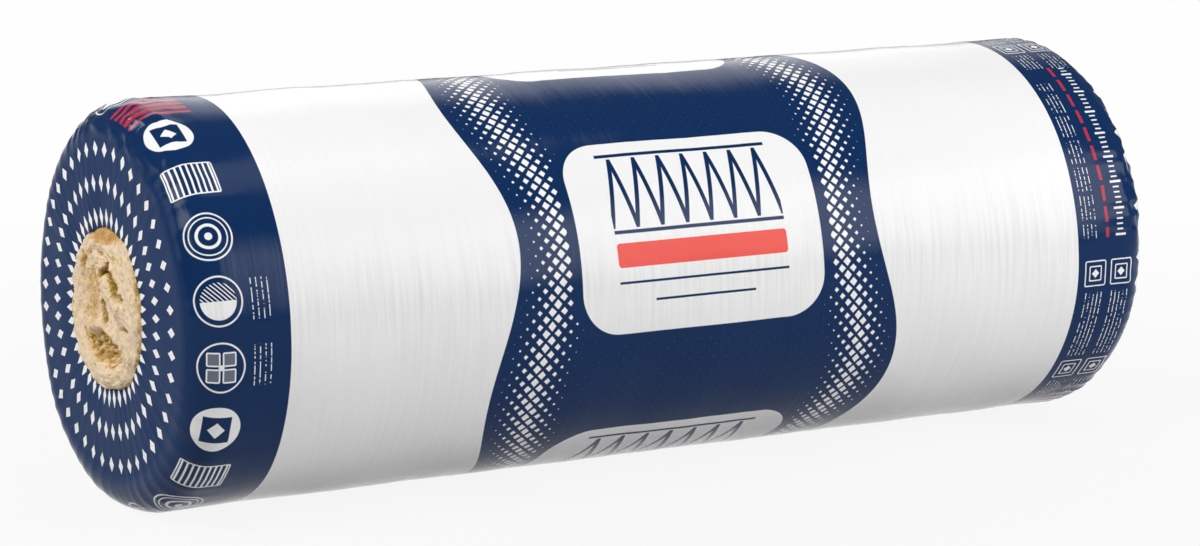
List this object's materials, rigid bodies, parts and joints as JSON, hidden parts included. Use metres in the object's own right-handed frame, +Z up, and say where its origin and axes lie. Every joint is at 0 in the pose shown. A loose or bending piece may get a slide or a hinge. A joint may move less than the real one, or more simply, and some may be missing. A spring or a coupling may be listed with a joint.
{
  "type": "insulation roll",
  "caption": "Tightly rolled glass wool mat in a printed plastic film sleeve, lying on its side, with bare wool showing in the round opening of each end.",
  "frame": {"origin": "on the floor under the middle of the lying roll", "axes": "+X along the roll, +Y to the back, +Z up"},
  "size_m": [1.2, 0.428, 0.4279],
  "materials": {
    "film": "glossy white polyethylene film printed in navy and coral",
    "wool": "matt cream glass wool, darker in its folds"
  },
  "bodies": {
    "root": {"film_wrap": "film", "wool_roll": "wool"}
  },
  "joints": []
}
